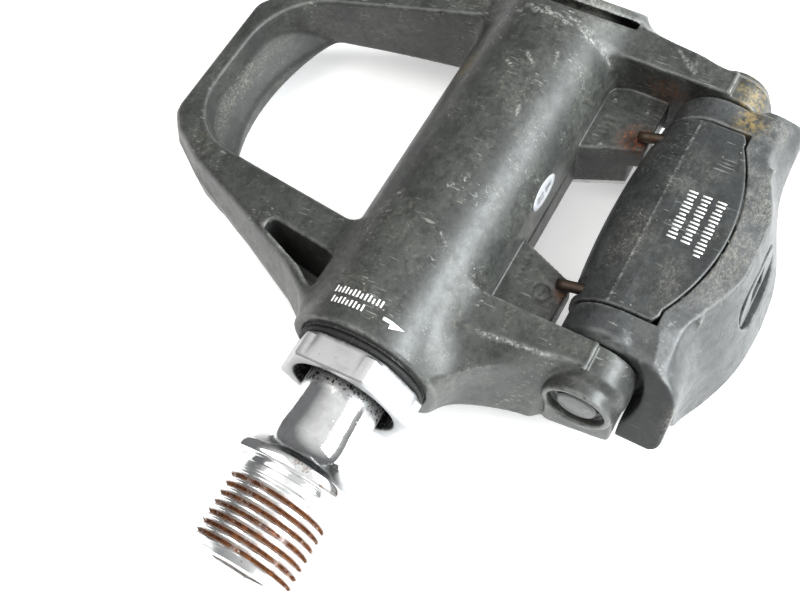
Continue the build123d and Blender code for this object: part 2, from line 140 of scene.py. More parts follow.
def outline(points, u, v):
    """Signed distance to a closed outline in the plane of u and v."""
    nearest, sign = np.float32(1e9), np.float32(1)
    for (u0, v0), (u1, v1) in zip(points, points[1:] + points[:1]):
        eu, ev = u1 - u0, v1 - v0
        t = np.clip(((u - u0) * eu + (v - v0) * ev) / max(eu * eu + ev * ev, 1e-9), 0, 1)
        nearest = np.minimum(nearest, (u - u0 - t * eu) ** 2 + (v - v0 - t * ev) ** 2)
        crosses = ((v0 > v) != (v1 > v)) & (u < (v - v0) * eu / (ev if ev else 1e-9) + u0)
        sign = np.where(crosses, -sign, sign)
    return sign * np.sqrt(nearest)


def mirrored(side):
    return side + [(-u, v, *rest) for u, v, *rest in reversed(side)]


class Clay:
    """Signed distance on a grid of points over a box: below zero is inside the material."""

    def __init__(self, low, high, step):
        self.low, self.step = np.array(low, float), step
        self.shape = tuple(int(math.ceil((b - a) / step)) + 1 for a, b in zip(low, high))
        axes = [np.float32(low[i] + step * np.arange(self.shape[i])) for i in range(3)]
        self.x, self.y, self.z = axes[0][:, None, None], axes[1][None, :, None], axes[2][None, None, :]
        self.a = CENTRE - self.x
        self.wide = np.abs(self.a)
        self.pin = np.hypot(self.y - PIN_Y, self.z - PIN_Z)

    def start(self, shape):
        self.d = np.broadcast_to(shape, self.shape).astype(np.float32)

    def add(self, shape, fillet=0.0):
        self.d = join(self.d, shape, fillet)

    def cut(self, shape, edge=0.0):
        self.d = meet(self.d, -shape, edge)

    def keep(self, shape, edge=0.0):
        self.d = meet(self.d, shape, edge)

    def read(self, points):
        """Trilinear value at points given in grid units."""
        p = np.clip(points, 0, np.array(self.shape) - 1.001)
        i = p.astype(int)
        f = p - i
        total = 0.0
        for corner in np.ndindex(2, 2, 2):
            weight = np.where(corner, f, 1 - f).prod(1)
            total = total + weight * self.d[tuple((i + corner).T)]
        return total

    def slope(self, points, reach):
        """Gradient and curvature of the distance over +-reach grid steps."""
        here, parts, lap = self.read(points), [], 0.0
        for axis in range(3):
            step = np.zeros(3)
            step[axis] = reach
            ahead, behind = self.read(points + step), self.read(points - step)
            parts.append((ahead - behind) / (2 * reach))
            lap = lap + ahead + behind - 2 * here
        return np.stack(parts, 1), lap / (reach * reach * self.step)

    def skin(self):
        """Closed surface of the shape: (points in mm, quads, normals, curvature per mm)."""
        for axis in range(3):
            edge = [slice(None)] * 3
            for side in (0, -1):
                edge[axis] = side
                self.d[tuple(edge)] = np.maximum(self.d[tuple(edge)], 0.5 * self.step)
        inside = self.d < 0
        n = np.array(self.shape) - 1
        block = [inside[i:n[0] + i, j:n[1] + j, k:n[2] + k] for i, j, k in np.ndindex(2, 2, 2)]
        mixed = np.logical_or.reduce(block) & ~np.logical_and.reduce(block)
        cells = np.argwhere(mixed)
        number = np.full(mixed.shape, -1, np.int64)
        number[mixed] = np.arange(len(cells))
        total, count = np.zeros((len(cells), 3)), np.zeros(len(cells))
        for axis in range(3):
            unit = np.eye(3, dtype=int)[axis]
            for corner in range(4):
                offset = np.zeros(3, int)
                offset[(axis + 1) % 3], offset[(axis + 2) % 3] = corner % 2, corner // 2
                v0 = self.d[tuple((cells + offset).T)]
                v1 = self.d[tuple((cells + offset + unit).T)]
                cross = (v0 < 0) != (v1 < 0)
                t = np.where(cross, v0 / np.where(cross, v0 - v1, 1), 0)
                total += np.where(cross[:, None], offset + t[:, None] * unit, 0)
                count += cross
        points = cells + total / count[:, None]
        for _ in range(2):
            grad, _ = self.slope(points, 0.5)
            size = np.maximum((grad**2).sum(1), 1e-6)
            move = -(self.read(points) / size)[:, None] * grad
            length = np.maximum(np.linalg.norm(move, axis=1), 1e-9)
            points = points + move * np.minimum(1, 0.4 / length)[:, None]
        quads = []
        for axis in range(3):
            u, v = (axis + 1) % 3, (axis + 2) % 3
            here, there = [slice(1, -1)] * 3, [slice(1, -1)] * 3
            here[axis], there[axis] = slice(0, -1), slice(1, None)
            first, second = inside[tuple(here)], inside[tuple(there)]
            for wanted, order in ((first & ~second, (0, 1, 2, 3)), (second & ~first, (3, 2, 1, 0))):
                at = np.argwhere(wanted)
                at[:, u] += 1
                at[:, v] += 1
                ring = []
                for du, dv in ((-1, -1), (0, -1), (0, 0), (-1, 0)):
                    cell = at.copy()
                    cell[:, u] += du
                    cell[:, v] += dv
                    ring.append(number[tuple(cell.T)])
                quads.append(np.stack([ring[k] for k in order], 1))
        normals, _ = self.slope(points, 0.8)
        _, curve = self.slope(points, 0.5 / self.step)
        normals /= np.maximum(np.linalg.norm(normals, axis=1), 1e-6)[:, None]
        return self.low + points * self.step, np.concatenate(quads), normals, curve


# ---------------------------------------------------------------- pieces
def piece(name, points, faces, body, slot, nodes=(), normals=None, sharp=None, material=None):
    """Mesh object that rides its body and stands for the named CAD nodes."""
    mesh = bpy.data.meshes.new(name)
    mesh.from_pydata((np.array(points) * MM).tolist(), [], [list(map(int, f)) for f in faces])
    mesh.shade_smooth()
    if normals is not None:
        mesh.normals_split_custom_set_from_vertices(normals.tolist())
    if sharp is not None:
        mesh.set_sharp_from_angle(angle=math.radians(sharp))
    obj = bpy.data.objects.new(name, mesh)
    bpy.context.scene.collection.objects.link(obj)
    mesh.materials.append(material or MATERIALS[slot])
    if body:
        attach(obj, body)
    if nodes:
        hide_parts(*nodes)
    return obj


def paint(obj, name, values):
    """Stores a 0 to 1 mask on the piece's points, for its material to read."""
    layer = obj.data.attributes.new(name, "FLOAT", "POINT")
    layer.data.foreach_set("value", np.clip(values, 0, 1).astype(np.float32))


def near(points, centre, radius):
    """Soft mask, 1 at centre and 0 beyond radius; radius may differ along X, Y and Z."""
    far = np.linalg.norm((points - np.array(centre)) / np.array(radius), axis=1)
    return np.clip(1.3 * (1 - far), 0, 1)


def along(points, start, end, width):
    """Mask of a line from start to end, with that half width in mm."""
    start, end = np.array(start, float), np.array(end, float)
    run = end - start
    t = np.clip(((points - start) @ run) / (run @ run), 0, 1)
    far = np.linalg.norm(points - start - t[:, None] * run, axis=1)
    return np.clip(1.5 - far / width, 0, 1) * (0.55 + 0.45 * np.sin(9 * t + start.sum()) ** 2)


def moulded(name, clay, body, slot, node, masks):
    """A moulded piece from its clay, with wear on its convex edges, and dirt and painted shade in its
    hollows.
    """
    points, quads, normals, curve = clay.skin()
    obj = piece(name, points, quads, body, slot, [node], normals)
    paint(obj, "edge", (curve - 0.35) * 0.9)
    # Concave hollows get a near-black mask: dirt together with painted shade.
    paint(obj, "dirt_and_shade", (-curve - 0.25) * 0.8)
    for mask, values in masks(points, normals).items():
        paint(obj, mask, values)


def bands(rings, n, first=0):
    """Quads between rings of n points each, numbered from first, one ring after another."""
    return [(at + k, at + (k + 1) % n, at + n + (k + 1) % n, at + n + k)
            for at in range(first, first + (rings - 1) * n, n) for k in range(n)]


def lathe(rows, turns, middle=(0.0, 0.0)):
    """Surface about an axis along X, a ring when it ends on its first row.

    rows are (x, radius); a radius may be a function of the angle.
    """
    angles = np.arange(turns) * TURN / turns
    points, faces = [], bands(len(rows), turns)
    for x, radius in rows:
        r = np.array([radius(t) for t in angles]) if callable(radius) else np.full(turns, radius)
        y, z = middle[0] + r * np.cos(angles), middle[1] + r * np.sin(angles)
        points.append(np.stack([np.full(turns, x), y, z], 1))
    points = np.concatenate(points)
    last = len(points) - turns
    if rows[0] == rows[-1]:
        return points[:last], [tuple(i if i < last else i - last for i in f) for f in faces]
    return points, faces + [tuple(range(turns))[::-1], tuple(range(last, last + turns))]


def hexagon(across_flats, corner, limit=1e9):
    """Radius of a hexagon at each angle, cut back to limit."""
    def radius(t):
        off = (math.degrees(t) - corner - 30) % 60
        return min(across_flats / 2 / math.cos(math.radians(min(off, 60 - off))), limit)
    return radius


def tube(path, radius, sides):
    """Round bar along a path of points, closed at both ends."""
    path = np.array(path, float)
    ahead = np.gradient(path, axis=0)
    ahead /= np.linalg.norm(ahead, axis=1)[:, None]
    up = np.array((1.0, 0.0, 0.0))
    if abs(ahead[0] @ up) > 0.9:
        up = np.array((0.0, 0.0, 1.0))
    points = []
    for p, t in zip(path, ahead):
        up = up - t * (up @ t)
        up /= np.linalg.norm(up)
        side = np.cross(t, up)
        for k in range(sides):
            c, s = math.cos(TURN * k / sides), math.sin(TURN * k / sides)
            points.append(p + radius * (c * up + s * side))
    last = (len(path) - 1) * sides
    ends = [tuple(range(sides))[::-1], tuple(range(last, last + sides))]
    return points, bands(len(path), sides) + ends


# ---------------------------------------------------------------- materials
class Paint:
    """A material under construction: a Principled shader and the nodes that feed it."""

    def __init__(self, name, color, roughness, metallic=0.0, specular=0.5):
        self.material = bpy.data.materials.new(name)
        self.material.use_nodes = True
        self.tree = self.material.node_tree
        self.shader = self.tree.nodes["Principled BSDF"]
        self.color, self.rough = (*color, 1), roughness
        for key, value in (("Metallic", metallic), ("Specular IOR Level", specular),
                           ("Base Color", self.color), ("Roughness", roughness)):
            self.shader.inputs[key].default_value = value
        self.height = None
        self.place = self.tree.nodes.new("ShaderNodeTexCoord").outputs["Object"]

    def put(self, socket, value):
        if isinstance(value, bpy.types.NodeSocket):
            self.tree.links.new(value, socket)
        else:
            socket.default_value = value

    def node(self, kind, *values, **named):
        """New node, its inputs fed in order and by name."""
        node = self.tree.nodes.new("ShaderNode" + kind)
        for key, value in [*enumerate(values), *named.items()]:
            self.put(node.inputs[key], value)
        return node

    def math(self, kind, a, b):
        node = self.node("Math", a, b)
        node.operation = kind
        return node.outputs[0]

    def ramp(self, value, low, high):
        """0 below low and 1 above high, with a straight line between; falls if low is above high."""
        return self.node("MapRange", value, low, high, 0.0, 1.0).outputs[0]

    def stretch(self, scale, turn=(0, 0, 0)):
        return self.node("Mapping", Scale=scale, Rotation=turn, Vector=self.place).outputs[0]

    def noise(self, size_mm, detail=4.0, rough=0.55, place=None):
        return self.node("TexNoise", Scale=1 / (size_mm * MM), Detail=detail, Roughness=rough,
                         Vector=place or self.place).outputs[0]

    def blots(self, size_mm, detail, rough, low, high):
        return self.ramp(self.noise(size_mm, detail, rough), low, high)

    def cells(self, size_mm):
        return self.node("TexVoronoi", Scale=1 / (size_mm * MM), Vector=self.place).outputs["Distance"]

    def mask(self, name):
        node = self.node("Attribute")
        node.attribute_name = name
        return node.outputs["Fac"]

    def axis(self, letter):
        return self.node("SeparateXYZ", self.place).outputs[letter]

    def times(self, *parts):
        """Product of sockets and numbers."""
        total = parts[0]
        for part in parts[1:]:
            total = self.math("MULTIPLY", total, part)
        return total

    def tint(self, color, *amounts):
        """Mixes color in, by the product of the amounts."""
        node = self.node("Mix")
        node.data_type = "RGBA"
        self.put(node.inputs["Factor"], self.times(*amounts))
        self.put(node.inputs[6], self.color)
        self.put(node.inputs[7], (*color, 1))
        self.color = node.outputs[2]

    def roughen(self, amount, value):
        node = self.node("Mix", amount)
        self.put(node.inputs[2], self.rough)
        self.put(node.inputs[3], value)
        self.rough = node.outputs[0]

    def emboss(self, value, depth_mm):
        part = self.times(value, depth_mm)
        self.height = part if self.height is None else self.math("ADD", self.height, part)

    def done(self):
        self.put(self.shader.inputs["Base Color"], self.color)
        self.put(self.shader.inputs["Roughness"], self.rough)
        if self.height is not None:
            bump = self.node("Bump", Strength=1.0, Distance=MM, Height=self.height)
            self.put(self.shader.inputs["Normal"], bump.outputs[0])
        return self.material


DUST = (0.33, 0.29, 0.20)
RUST = (0.17, 0.055, 0.018)


def composite(name, color, dust, grain=0.012):
    """Satin moulded composite: fine grain, dusty film, pale worn edges, scratches, rust stains."""
    p = Paint(name, color, 0.36, specular=0.5)
    cloud = p.noise(7, 6, 0.65)
    fine = p.noise(0.7, 6, 0.75)
    dim = tuple(0.35 * c for c in color)
    p.tint(tuple(2.0 * c for c in color), p.ramp(cloud, 0.44, 0.66), 0.6)
    p.tint(dim, p.blots(2.4, 5, 0.7, 0.5, 0.62), 0.6)
    p.tint(dim, p.blots(0.8, 5, 0.7, 0.5, 0.62), 0.5)
    p.tint(tuple(2.4 * c for c in color), p.blots(0.7, 5, 0.7, 0.56, 0.68), 0.45)
    film = p.times(p.ramp(cloud, 0.46, 0.66), p.ramp(fine, 0.5, 0.68))
    p.tint(DUST, film, 0.22 * dust)
    p.roughen(p.blots(1.8, 5, 0.7, 0.42, 0.68), 0.48)

    specks = p.times(p.ramp(p.cells(1.6), 0.09, 0.05), p.ramp(p.noise(5), 0.54, 0.62))
    p.tint((0.5, 0.48, 0.4), specks, 0.55 * dust)

    for turn, share in (((0.3, 0.2, 0.5), 0.66), ((1.1, 0.6, 2.2), 0.67), ((0.5, 1.9, 1.2), 0.68)):
        lines = p.ramp(p.noise(0.8, 2, 0.5, p.stretch((2.6, 0.14, 2.6), turn)), share, share + 0.02)
        patch = p.ramp(p.noise(5, 2), 0.52, 0.60)
        p.tint((0.36, 0.36, 0.33), lines, patch, 0.4 * dust)

    worn = p.times(p.mask("edge"), p.blots(1.6, 5, 0.75, 0.38, 0.56))
    p.tint((0.38, 0.39, 0.37), worn, 0.6)
    p.roughen(worn, 0.6)
    # Hollows tinted near-black: dirt together with painted shade.
    p.tint((0.008, 0.008, 0.007), p.mask("dirt_and_shade"), 0.8)
    # The dark mask is painted shade: faces and corners that the light misses are darkened and roughened.
    p.tint(dim, p.mask("dark"), 0.7)
    p.roughen(p.mask("dark"), 0.62)

    streaks = p.ramp(p.noise(0.36, 7, 0.9, p.stretch((0.75, 1.3, 1.0), (0, 0, 0.4))), 0.46, 0.60)
    streaks = p.times(streaks, p.blots(2.2, 5, 0.8, 0.4, 0.56))
    rubbed = p.times(p.mask("chalk"), streaks)
    p.tint((0.4, 0.38, 0.32), rubbed, 0.62)
    p.roughen(rubbed, 0.75)
    rust = p.times(p.mask("rust"), p.blots(0.7, 6, 0.8, 0.42, 0.56))
    p.tint((0.13, 0.045, 0.018), rust)
    p.tint((0.34, 0.13, 0.05), rust, p.ramp(p.noise(0.45, 3), 0.55, 0.66))
    p.roughen(rust, 0.85)
    ochre = p.times(p.mask("ochre"), p.blots(0.9, 6, 0.8, 0.46, 0.56))
    p.tint((0.27, 0.19, 0.06), ochre, 0.7)
    scratch = p.times(p.mask("scratch"), p.blots(0.5, 4, 0.8, 0.44, 0.6))
    p.tint((0.42, 0.42, 0.39), scratch, 0.7)

    p.emboss(p.noise(0.35, 3, 0.6), grain)
    p.emboss(p.noise(1.1, 4, 0.6), 0.008)
    p.emboss(p.noise(3.0, 3, 0.5), 0.035)
    p.emboss(rust, 0.08)
    p.emboss(rubbed, 0.02)
    p.emboss(scratch, -0.02)
    return p.done()


def metal(name, color, roughness, brushed, dirt, rust=0.0):
    """Brushed steel with a dirty film and, where it is asked for, rust spots."""
    p = Paint(name, color, roughness, metallic=1.0)
    lines = p.noise(0.5, 4, 0.6, p.stretch(brushed))
    p.roughen(p.ramp(lines, 0.35, 0.7), roughness + 0.12)
    smear = p.times(p.blots(3, 5, 0.7, 0.5, 0.75), dirt)
    p.tint((0.12, 0.11, 0.09), smear)
    p.roughen(smear, 0.7)
    if rust:
        spots = p.times(p.blots(1.0, 6, 0.8, 0.56, 0.66), rust)
        p.tint(RUST, spots)
        p.roughen(spots, 0.9)
    p.emboss(lines, 0.006)
    return p.done()


def chrome(name):
    """Chrome with rust in the thread's grooves, brown pits, dirt near the seal and painted shade on the
    neck behind the flange.
    """
    p = Paint(name, (0.84, 0.85, 0.85), 0.08, metallic=1.0)
    flat = p.node("VectorMath", p.place, (0, 1, 1))
    flat.operation = "MULTIPLY"
    length = p.node("VectorMath", flat.outputs[0])
    length.operation = "LENGTH"
    radius, x = length.outputs["Value"], p.axis("X")
    thread = p.times(p.ramp(x, -0.0008, -0.0012), p.ramp(x, -0.0113, -0.0109))
    p.tint((0.46, 0.45, 0.43), p.blots(1.6, 5, 0.7, 0.45, 0.7), 0.35)
    p.roughen(p.ramp(x, 0.0, -0.0006), 0.22)
    # Painted shade: a near-black band on the neck just behind the flange.
    foot = p.times(p.ramp(p.math("ADD", x, p.times(p.noise(3, 4), 0.0022)), 0.0046, 0.003),
                   p.ramp(x, 0.0014, 0.0017))
    p.tint((0.035, 0.035, 0.038), foot, 0.85)
    p.roughen(foot, 0.25)
    deep = p.ramp(radius, 0.00686, 0.00658)
    rust = p.times(deep, thread, p.blots(2.4, 6, 0.75, 0.32, 0.46))
    p.tint((0.135, 0.052, 0.024), rust)
    p.tint((0.36, 0.16, 0.07), rust, p.blots(0.9, 6, 0.8, 0.46, 0.62))
    p.tint((0.045, 0.022, 0.015), rust, p.blots(0.6, 6, 0.8, 0.54, 0.64))
    p.roughen(rust, 0.9)
    stain = p.times(thread, p.blots(1.0, 6, 0.8, 0.58, 0.68))
    p.tint((0.26, 0.17, 0.12), stain, 0.6)
    p.roughen(stain, 0.8)
    pits = p.times(p.ramp(p.cells(1.5), 0.1, 0.05), p.ramp(p.noise(5), 0.5, 0.58))
    p.tint((0.12, 0.07, 0.05), pits, 0.9)
    p.roughen(pits, 0.8)
    rim = p.times(p.ramp(radius, 0.009, 0.0093), p.blots(1.4, 5, 0.8, 0.54, 0.62))
    p.tint((0.26, 0.12, 0.06), rim, 0.7)
    soot = p.times(p.ramp(x, 0.0112, 0.0138), p.blots(0.6, 6, 0.8, 0.4, 0.54))
    p.tint((0.02, 0.02, 0.018), soot)
    p.roughen(soot, 0.9)
    p.emboss(p.noise(0.4, 4, 0.7), 0.003)
    p.emboss(p.noise(3.0, 3, 0.6), 0.02)
    p.emboss(rust, 0.03)
    return p.done()


def alloy(name):
    """Satin aluminium nut, with black dirt and painted shade inside its mouth and on its face toward the
    barrel.
    """
    p = Paint(name, (0.50, 0.50, 0.51), 0.36, metallic=1.0)
    p.roughen(p.ramp(p.noise(0.6, 5, 0.7, p.stretch((0.3, 1, 1))), 0.4, 0.7), 0.42)
    # The nut's inner mask darkens its bore and the face by the barrel: dirt together with painted shade.
    p.tint((0.012, 0.011, 0.01), p.mask("dirt_and_shade"), p.blots(0.5, 6, 0.8, 0.3, 0.46))
    p.roughen(p.mask("dirt_and_shade"), 0.9)
    smear = p.times(p.blots(2.4, 5, 0.75, 0.52, 0.68), 0.35)
    p.tint((0.3, 0.3, 0.3), smear)
    p.tint((0.1, 0.09, 0.08), p.ramp(p.cells(0.9), 0.1, 0.05), 0.7)
    p.emboss(p.noise(0.5, 5, 0.7), 0.010)
    return p.done()


def rubber(name):
    """Black rubber with pale grit in its pores."""
    p = Paint(name, (0.012, 0.012, 0.012), 0.6, specular=0.35)
    grit = p.blots(0.35, 6, 0.8, 0.56, 0.66)
    p.tint((0.16, 0.15, 0.12), grit, 0.5)
    p.roughen(p.ramp(p.noise(1.2, 4), 0.4, 0.7), 0.85)
    p.emboss(p.noise(0.4, 6, 0.8), 0.05)
    return p.done()


def print_ink(name, color, wear):
    """Pad print, rubbed through to the dark moulding in places."""
    p = Paint(name, color, 0.45)
    gone = p.blots(1.1, 5, 0.75, wear, wear + 0.06)
    p.tint((0.07, 0.07, 0.065), gone)
    p.tint((0.45, 0.44, 0.4), p.blots(0.5, 5, 0.7, 0.5, 0.7), 0.3)
    p.emboss(p.noise(0.3, 3), 0.008)
    return p.done()


def label_film(name):
    """Silver label film with worn dark dots."""
    p = Paint(name, (0.36, 0.37, 0.385), 0.3)
    p.tint((0.1, 0.1, 0.11), p.mask("mark"), 0.9)
    p.tint((0.5, 0.49, 0.46), p.blots(0.8, 5, 0.7, 0.52, 0.68), 0.35)
    p.roughen(p.ramp(p.noise(0.6, 4), 0.45, 0.65), 0.4)
    p.emboss(p.noise(0.6, 3), 0.01)
    return p.done()


def painted(name, color):
    """Black coated steel, rubbed bright in small spots."""
    p = Paint(name, color, 0.34, specular=0.6)
    p.tint((0.3, 0.29, 0.27), p.blots(1.3, 6, 0.75, 0.56, 0.68), 0.6)
    p.roughen(p.blots(0.7, 5, 0.7, 0.4, 0.7), 0.5)
    p.tint((0.5, 0.47, 0.4), p.ramp(p.cells(0.8), 0.1, 0.05), 0.5)
    p.emboss(p.noise(0.4, 5, 0.7), 0.012)
    return p.done()


MATERIALS = {name: make(name, *values) for name, make, *values in (
    ("axle_chrome", chrome),
    ("bearing_steel", metal, (0.62, 0.62, 0.63), 0.22, (6, 0.4, 0.4), 0.15),
    ("bushing_nylon", composite, (0.66, 0.62, 0.52), 0.1),
    ("lock_bolt_alloy", alloy),
    ("seal_rubber", rubber),
    ("body_composite", composite, (0.034, 0.036, 0.033), 0.9),
    ("plate_steel", metal, (0.60, 0.60, 0.60), 0.30, (0.3, 6, 1), 0.35, 0.5),
    ("screw_steel", painted, (0.05, 0.05, 0.052)),
    ("label_film", label_film),
    ("pin_steel", painted, (0.055, 0.056, 0.056)),
    ("claw_composite", composite, (0.036, 0.038, 0.039), 0.7),
    ("cover_composite", composite, (0.026, 0.028, 0.028), 0.7, 0.02),
    ("spring_steel", metal, (0.10, 0.075, 0.06), 0.5, (1, 1, 1), 0.6, 1.0),
    ("adjuster_steel", metal, (0.40, 0.40, 0.40), 0.35, (1, 1, 1), 0.5, 0.5),
    ("indicator_plastic", composite, (0.045, 0.048, 0.050), 0.5),
)}
INK = print_ink("white_ink", (0.88, 0.88, 0.86), 0.66)


# ---------------------------------------------------------------- moulded body
HOOP_SIDE = [(34.2, 2.0, 0), (34.0, 9.6, 2.0), (29.2, 16.2, 8), (24.0, 26.6, 0), (18.6, 38.4, 8),
             (14.5, 44.3, 2.0), (10.2, 48.0, 2.5)]
HOLE_SIDE = [(20.2, 5.0, 0), (13.6, 43.2, 11.3)]
UNDER_Y, UNDER_Z = [0, 31, 34, 37, 39, 41, 43, 49], [-7.5, -7.5, -7.7, -8.7, -9.8, -10.8, -11.0, -11.0]
STRUT_POCKET = [(22.4, 23.4, 1.1), (24.6, 21.0, 1.1), (28.2, 12.9, 3), (31.0, 9.0, 0.6), (25.0, 9.0, 0.6)]
PAD = [(7.2, -7.0, 0), (11.8, -18.6, 0.5), (21.2, -18.6, 0), (21.2, -7.0, 0)]
ARM_Y = [-31, -26, -22.8, -20.9, -18.6, -16.4, -14.3, -12.2, -10.8, -9.5, -6, -2]
ARM_RIDGE = [24.7, 25.0, 25.3, 25.5, 25.7, 25.9, 26.15, 26.4, 26.6, 26.75, 27.2, 27.8]
ARM_CREASE = [25.3, 25.5, 25.85, 26.35, 27.15, 28.3, 29.8, 31.6, 33.1, 34.4, 38.0, 42.0]
ARM_FOOT = [27.5, 28.4, 29.0, 29.3, 29.7, 30.3, 31.0, 31.9, 32.7, 33.6, 37.2, 41.0]
ARM_TRIM = [0.0, 0.0, 0.0, 0.0, 0.0, 0.7, 1.6, 2.6, 3.4, 4.2, 6.5, 9.0]


def make_hoop(c):
    outer = outline(rounded(mirrored(HOOP_SIDE)), c.a, c.y)
    hole = outline(rounded(mirrored(HOLE_SIDE), 12), c.a, c.y)
    draft = 0.15 * np.maximum(c.z + 4, 0) + 0.05 * np.maximum(-4 - c.z, 0)
    top = (c.z - (7.43 - 0.166 * c.y)) * 0.986
    nose = (c.y - 45.9) * 0.924 + (c.z + 0.2) * 0.381
    top = meet(top, nose, 0.5)
    wall = meet(outer + draft, top, 1.1)
    wall = meet(wall, c.x - BARREL_END, 0.5)
    wall = meet(wall, -2 - c.y)
    bottom = (bend(UNDER_Y, UNDER_Z, c.y) - c.z) * 0.95
    ring = meet(wall, bottom, 0.5)
    ring = meet(ring, -(hole - 0.03 * (c.z - 6)), 0.5)
    from_arc = rod(c.a, c.y - LEDGE_Y, LEDGE_R)
    ledge = meet(outer + draft, -from_arc)
    ledge = meet(ledge, c.z - (-7.3 + 1.05 * np.minimum(from_arc, 4)), 0.6)
    ledge = meet(ledge, meet(bottom, 33.2 - c.y), 0.5)
    ring = join(ring, ledge, 0.4)
    pocket = outline(rounded(STRUT_POCKET), c.wide, c.y)
    return meet(ring, -meet(pocket, -6.0 - c.z), 0.35)


def make_arm(c):
    ridge, crease, foot = (bend(ARM_Y, side, c.y) for side in (ARM_RIDGE, ARM_CREASE, ARM_FOOT))
    trim = bend(ARM_Y, ARM_TRIM, c.y) * (c.a < 0)
    crease, foot = crease - trim, foot - trim
    upper = crease + (ridge - crease) * (c.z - 3.4) / 2.7
    lower = crease + (foot - crease) * (3.4 - c.z) / 9.9
    reach_up = (c.wide - upper) / np.sqrt(1 + ((crease - ridge) / 2.7) ** 2)
    reach_low = (c.wide - lower) * 0.93
    outside = meet(reach_up, reach_low, 0.2)
    arm = meet(outside, c.z - (5.85 + 0.04 * (c.wide - 21)), 0.35)
    arm = meet(arm, -6.8 - c.z, 0.8)
    arm = meet(arm, ARM_INNER - c.wide, 0.35)
    arm = meet(arm, meet(-26.1 - c.y, c.y + 2), 0.3)
    bead = meet(rod(c.y + 26.0, c.z - 5.75, 0.32), meet(c.wide - 25.0, 21.0 - c.wide), 0.1)
    arm = join(arm, bead, 0.2)
    step = np.clip((c.wide - 24.6) / 1.6, 0, 1)
    radius = 5.5 - 0.8 * step * step * (3 - 2 * step)
    face = np.where(c.a > 0, BOSS_FACE, FAR_FACE)
    boss = meet(c.pin - radius, meet(ARM_INNER - c.wide, c.wide - face), 0.3)
    foot = meet(slab(c.y, -31.4, PIN_Y + 4), slab(c.z, -6.8, PIN_Z), 0.9)
    flank = c.wide - face + 0.3 + 0.06 * (c.z + 6.8) - 0.1 * (c.y + 31)
    foot = meet(foot, meet(ARM_INNER - c.wide, flank), 0.3)
    return join(arm, join(boss, foot, 0.15), 0.5)


def make_body():
    c = Clay((17.2, -33.0, -11.8), (86.0, 49.2, 11.4), 0.30)
    barrel = meet(rod(c.y, c.z, BARREL_R), slab(c.x, BARREL_START, BARREL_END), 0.5)
    barrel = meet(barrel, -meet(c.z - PLATFORM_Z, c.wide - 27), 0.3)
    rear = meet(meet(c.y + 9.95, c.z - 3.4), c.wide - ARM_INNER)
    c.start(meet(barrel, -rear, 0.2))
    c.add(make_hoop(c), 1.8)
    c.add(make_arm(c), 2.6)
    block = meet(slab(c.y, -10, 10.2), slab(c.z, PLATFORM_Z, -4), 0.3)
    c.add(meet(block, c.wide - 25, 0.3))
    corner = meet(slab(c.y, 9, 13), slab(c.z, PLATFORM_Z, -4), 0.3)
    c.add(meet(corner, slab(c.wide, 19.8, 25), 0.3))
    pad = meet(outline(rounded(PAD), c.wide, c.y), slab(c.z, PLATFORM_Z, -0.5), 0.25)
    pad = meet(pad, -meet(c.z + 4.7, c.y + 16.8), 0.2)
    c.add(pad, 0.25)

    lean = (c.x - SLOT_X) * math.cos(SLOT_LEAN) - (BARREL_R - c.z) * math.sin(SLOT_LEAN)
    c.cut(meet(1.85 - lean, c.y - 3, 0.6), 0.35)
    reach = meet(slab(c.y, -10.5, 3), 2.6 - c.z)
    c.cut(meet(np.abs(lean) - 0.5, meet(8.4 - np.hypot(c.y, c.z), reach, 0.8), 0.2), 0.2)

    c.keep(slab(c.x, BARREL_START, BARREL_END), 0.5)
    c.cut(meet(rod(c.y, c.z, 9.06), c.x - 27), 0.25)
    c.cut(meet(rod(c.y, c.z, 7.42), c.x - 83.5))
    c.cut(c.pin - (PIN_R + 0.05))
    c.cut(meet(c.pin - 3.9, np.where(c.a > 0, 26.7, 25.4) - c.wide), 0.15)
    pocket_marks(c)
    moulded("body_shell", c, "pedal_body", "body_composite", "pedal_body", body_masks)


def pocket_marks(c):
    """Shallow moulded marks on the pads: a ring, a bar and dashes inboard, ticks outboard; studs."""
    depth = -0.72 - c.z
    ring = np.abs(rod(c.a - 14.6, c.y + 15.6, 1.25)) - 0.16
    bar = meet(slab(c.a, 13.6, 15.6), np.abs(c.y + 15.6) - 0.14)
    ticks = np.abs(((-c.a - 11.6) % 0.9) - 0.45) - 0.14
    ticks = meet(ticks, meet(slab(-c.a, 11.6, 15.2), slab(c.y, -12.6, -11.2)))
    dashes = np.abs(((c.a - 9.8) % 0.8) - 0.4) - 0.16
    dashes = meet(dashes, meet(slab(c.a, 9.8, 14.6), slab(c.y, -12.2, -11.5)))
    for mark in (ring, bar, ticks, dashes):
        c.cut(meet(mark, depth), 0.05)
    for a, y in ((-18.2, -11.3), (-18.0, -16.4), (-10.2, -12.6)):
        c.add(np.sqrt((c.a - a) ** 2 + (c.y - y) ** 2 + (c.z + 0.6) ** 2) - 0.38)


